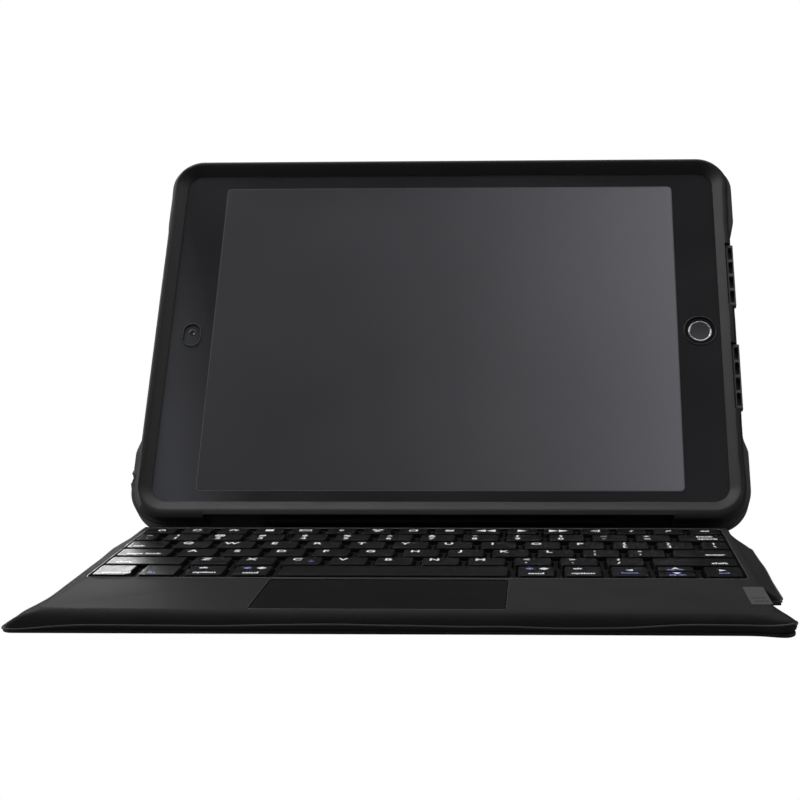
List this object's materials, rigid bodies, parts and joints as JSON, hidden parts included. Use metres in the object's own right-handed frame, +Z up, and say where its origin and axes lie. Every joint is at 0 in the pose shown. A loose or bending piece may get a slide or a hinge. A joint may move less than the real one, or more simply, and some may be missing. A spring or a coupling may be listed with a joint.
{
  "type": "tablet keyboard case",
  "caption": "Rugged tablet case on its kickstand, joined by a fabric spine to a soft-touch keyboard folio with trackpad; a tablet sits behind its clear screen film.",
  "frame": {"origin": "centre of the footprint, on the surface that the folio lies on", "axes": "+X to the user's right along the keyboard, +Y away from the user towards the case, +Z up"},
  "size_m": [0.2646, 0.2686, 0.1644],
  "materials": {
    "tablet_metal": "satin",
    "tablet_glass": "polished",
    "display": "gloss",
    "black_trim": "gloss",
    "home_button": "polished",
    "case_shell": "matte",
    "case_rubber": "matte",
    "grille": "matte",
    "steel": "brushed",
    "bezel": "satin",
    "film": "clear",
    "kickstand": "matte",
    "folio_skin": "matte",
    "tray_plastic": "matte",
    "deck": "soft matte",
    "plate_steel": "matte",
    "membrane": "satin",
    "domes": "matte",
    "board": "satin",
    "battery": "satin",
    "label": "satin",
    "trackpad": "satin",
    "keycap": "satin"
  },
  "bodies": {
    "keyboard": {"bottom_skin": "folio_skin", "top_skin": "folio_skin", "lower_tray": "tray_plastic", "deck_cover": "deck", "tray_screws": "steel", "support_plate": "plate_steel", "membrane": "membrane", "rubber_domes": "domes", "circuit_board": "board", "battery": "battery", "charging_port": "steel", "switch_label": "label", "trackpad_switch": "steel"},
    "trackpad": {"trackpad_plate": "trackpad"},
    "power_switch": {"power_slider": "black_trim"},
    "spine": {"spine_sheet": "folio_skin"},
    "case": {"back_shell": "case_shell", "bumper": "case_rubber", "camera_ring": "case_shell", "speaker_grilles": "grille", "dock_bar": "case_shell", "dock_magnets": "steel", "stand_brackets": "steel", "stand_pins": "steel", "bracket_screws": "steel"},
    "kickstand": {"kickstand_plate": "kickstand"},
    "bezel": {"front_frame": "bezel", "screen_film": "film"},
    "tablet": {"tablet_housing": "tablet_metal", "tablet_glass": "tablet_glass", "tablet_display": "display", "front_camera": "black_trim"},
    "home": {"home_button": "home_button"},
    "power": {"power_button": "case_rubber"},
    "volume": {"volume_button": "case_rubber"},
    "flap": {"port_flap": "case_rubber"},
    "function_row_keycaps": {"function_row_keys": "keycap"},
    "number_row_keycaps": {"number_row_keys": "keycap"},
    "q_row_keycaps": {"q_row_keys": "keycap"},
    "a_row_keycaps": {"a_row_keys": "keycap"},
    "z_row_keycaps": {"z_row_keys": "keycap"},
    "backtick_keycap": {"backtick_key": "keycap"},
    "tab_keycap": {"tab_key": "keycap"},
    "caps_lock_keycap": {"caps_lock_key": "keycap"},
    "left_shift_keycap": {"left_shift_key": "keycap"},
    "control_keycap": {"control_key": "keycap"},
    "function_keycap": {"function_key": "keycap"},
    "left_option_keycap": {"left_option_key": "keycap"},
    "left_command_keycap": {"left_command_key": "keycap"},
    "space_keycap": {"space_key": "keycap"},
    "right_command_keycap": {"right_command_key": "keycap"},
    "right_option_keycap": {"right_option_key": "keycap"},
    "arrow_left_keycap": {"arrow_left_key": "keycap"},
    "arrow_up_keycap": {"arrow_up_key": "keycap"},
    "arrow_down_keycap": {"arrow_down_key": "keycap"},
    "arrow_right_keycap": {"arrow_right_key": "keycap"},
    "right_shift_keycap": {"right_shift_key": "keycap"},
    "enter_keycap": {"enter_key": "keycap"},
    "backslash_keycap": {"backslash_key": "keycap"},
    "backspace_keycap": {"backspace_key": "keycap"}
  },
  "joints": [
    {"name": "case_hinge", "type": "hinge", "parent": "keyboard", "child": "case", "pos_m": [0.0003, 0.01758, 0.01], "axis": [-1, 0, 0], "range_deg": [-124, 0]},
    {"name": "spine_hinge", "type": "hinge", "parent": "keyboard", "child": "spine", "pos_m": [0.0003, 0.02023, 0.00065], "axis": [-1, 0, 0], "range_deg": [-90, 0]},
    {"name": "kickstand_hinge", "type": "hinge", "parent": "case", "child": "kickstand", "pos_m": [0.0003, 0.08805, 0.08791], "axis": [1, 0, 0], "range_deg": [-50.71, 0]},
    {"name": "bezel_lift", "type": "slide", "parent": "case", "child": "bezel", "axis": [0, -0.829, 0.5592], "range_m": [0, 0.06]},
    {"name": "tablet_lift", "type": "slide", "parent": "case", "child": "tablet", "axis": [0, -0.829, 0.5592], "range_m": [0, 0.03]},
    {"name": "home_button_press", "type": "slide", "parent": "tablet", "child": "home", "axis": [0, 0.829, -0.5592], "range_m": [0, 0.0003], "stiffness_N_per_m": 2000},
    {"name": "power_button_press", "type": "slide", "parent": "case", "child": "power", "axis": [1, 0, 0], "range_m": [0, 0.0005], "stiffness_N_per_m": 2000},
    {"name": "volume_button_press", "type": "slide", "parent": "case", "child": "volume", "axis": [0, -0.5592, -0.829], "range_m": [0, 0.0005], "stiffness_N_per_m": 2500},
    {"name": "port_flap_hinge", "type": "hinge", "parent": "case", "child": "flap", "pos_m": [0.1303, 0.07997, 0.0813], "axis": [0, 0.5592, 0.829], "range_deg": [0, 120], "stiffness_Nm_per_rad": 0.002},
    {"name": "trackpad_click", "type": "slide", "parent": "keyboard", "child": "trackpad", "axis": [0, 0, -1], "range_m": [0, 0.0004], "stiffness_N_per_m": 4000},
    {"name": "power_switch_slide", "type": "slide", "parent": "keyboard", "child": "power_switch", "axis": [0, -1, 0], "range_m": [0, 0.003]},
    {"name": "function_row_press", "type": "slide", "parent": "keyboard", "child": "function_row_keycaps", "axis": [0, 0, -1], "range_m": [0, 0.0014], "stiffness_N_per_m": 6400},
    {"name": "number_row_press", "type": "slide", "parent": "keyboard", "child": "number_row_keycaps", "axis": [0, 0, -1], "range_m": [0, 0.0014], "stiffness_N_per_m": 4800},
    {"name": "q_row_press", "type": "slide", "parent": "keyboard", "child": "q_row_keycaps", "axis": [0, 0, -1], "range_m": [0, 0.0014], "stiffness_N_per_m": 4800},
    {"name": "a_row_press", "type": "slide", "parent": "keyboard", "child": "a_row_keycaps", "axis": [0, 0, -1], "range_m": [0, 0.0014], "stiffness_N_per_m": 4400},
    {"name": "z_row_press", "type": "slide", "parent": "keyboard", "child": "z_row_keycaps", "axis": [0, 0, -1], "range_m": [0, 0.0014], "stiffness_N_per_m": 4000},
    {"name": "backtick_press", "type": "slide", "parent": "keyboard", "child": "backtick_keycap", "axis": [0, 0, -1], "range_m": [0, 0.0014], "stiffness_N_per_m": 400},
    {"name": "tab_press", "type": "slide", "parent": "keyboard", "child": "tab_keycap", "axis": [0, 0, -1], "range_m": [0, 0.0014], "stiffness_N_per_m": 400},
    {"name": "caps_lock_press", "type": "slide", "parent": "keyboard", "child": "caps_lock_keycap", "axis": [0, 0, -1], "range_m": [0, 0.0014], "stiffness_N_per_m": 400},
    {"name": "left_shift_press", "type": "slide", "parent": "keyboard", "child": "left_shift_keycap", "axis": [0, 0, -1], "range_m": [0, 0.0014], "stiffness_N_per_m": 400},
    {"name": "control_press", "type": "slide", "parent": "keyboard", "child": "control_keycap", "axis": [0, 0, -1], "range_m": [0, 0.0014], "stiffness_N_per_m": 400},
    {"name": "function_press", "type": "slide", "parent": "keyboard", "child": "function_keycap", "axis": [0, 0, -1], "range_m": [0, 0.0014], "stiffness_N_per_m": 400},
    {"name": "left_option_press", "type": "slide", "parent": "keyboard", "child": "left_option_keycap", "axis": [0, 0, -1], "range_m": [0, 0.0014], "stiffness_N_per_m": 400},
    {"name": "left_command_press", "type": "slide", "parent": "keyboard", "child": "left_command_keycap", "axis": [0, 0, -1], "range_m": [0, 0.0014], "stiffness_N_per_m": 400},
    {"name": "space_press", "type": "slide", "parent": "keyboard", "child": "space_keycap", "axis": [0, 0, -1], "range_m": [0, 0.0014], "stiffness_N_per_m": 400},
    {"name": "right_command_press", "type": "slide", "parent": "keyboard", "child": "right_command_keycap", "axis": [0, 0, -1], "range_m": [0, 0.0014], "stiffness_N_per_m": 400},
    {"name": "right_option_press", "type": "slide", "parent": "keyboard", "child": "right_option_keycap", "axis": [0, 0, -1], "range_m": [0, 0.0014], "stiffness_N_per_m": 400},
    {"name": "arrow_left_press", "type": "slide", "parent": "keyboard", "child": "arrow_left_keycap", "axis": [0, 0, -1], "range_m": [0, 0.0014], "stiffness_N_per_m": 400},
    {"name": "arrow_up_press", "type": "slide", "parent": "keyboard", "child": "arrow_up_keycap", "axis": [0, 0, -1], "range_m": [0, 0.0014], "stiffness_N_per_m": 400},
    {"name": "arrow_down_press", "type": "slide", "parent": "keyboard", "child": "arrow_down_keycap", "axis": [0, 0, -1], "range_m": [0, 0.0014], "stiffness_N_per_m": 400},
    {"name": "arrow_right_press", "type": "slide", "parent": "keyboard", "child": "arrow_right_keycap", "axis": [0, 0, -1], "range_m": [0, 0.0014], "stiffness_N_per_m": 400},
    {"name": "right_shift_press", "type": "slide", "parent": "keyboard", "child": "right_shift_keycap", "axis": [0, 0, -1], "range_m": [0, 0.0014], "stiffness_N_per_m": 400},
    {"name": "enter_press", "type": "slide", "parent": "keyboard", "child": "enter_keycap", "axis": [0, 0, -1], "range_m": [0, 0.0014], "stiffness_N_per_m": 400},
    {"name": "backslash_press", "type": "slide", "parent": "keyboard", "child": "backslash_keycap", "axis": [0, 0, -1], "range_m": [0, 0.0014], "stiffness_N_per_m": 400},
    {"name": "backspace_press", "type": "slide", "parent": "keyboard", "child": "backspace_keycap", "axis": [0, 0, -1], "range_m": [0, 0.0014], "stiffness_N_per_m": 400}
  ],
  "couplings": [
    {"joint": "spine_hinge", "follows": "case_hinge", "ratio": 0.7258},
    {"joint": "tablet_lift", "follows": "bezel_lift", "ratio": 0.5}
  ]
}
